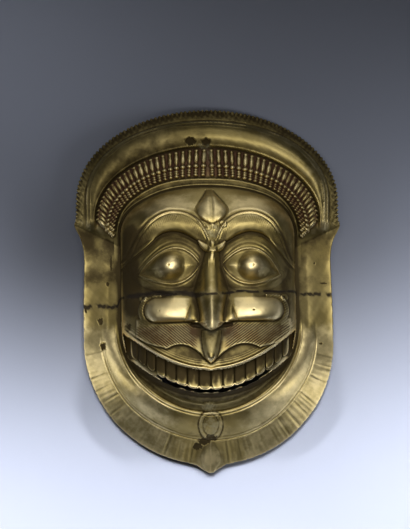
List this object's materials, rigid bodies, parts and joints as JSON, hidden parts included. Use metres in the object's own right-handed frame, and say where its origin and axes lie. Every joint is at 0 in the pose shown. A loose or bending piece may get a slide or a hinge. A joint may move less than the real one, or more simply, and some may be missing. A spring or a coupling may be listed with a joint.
{
  "type": "spirit mask",
  "caption": "Hollow cast brass spirit mask: serrated arched crown with a baluster band, domed eyes, long nose, grinning open mouth with teeth, pointed chin, open at the back.",
  "frame": {"origin": "centre of the bounding box on the plane of the rim, on which the mask lies face up", "axes": "+Z out of the face, +Y toward the crown, +X to the viewer's right"},
  "size_m": [0.307, 0.4204, 0.1395],
  "materials": {
    "brass": "aged cast brass, rubbed bright on the high spots and dark brown in the recesses"
  },
  "bodies": {
    "root": {"mask": "brass"}
  },
  "joints": []
}
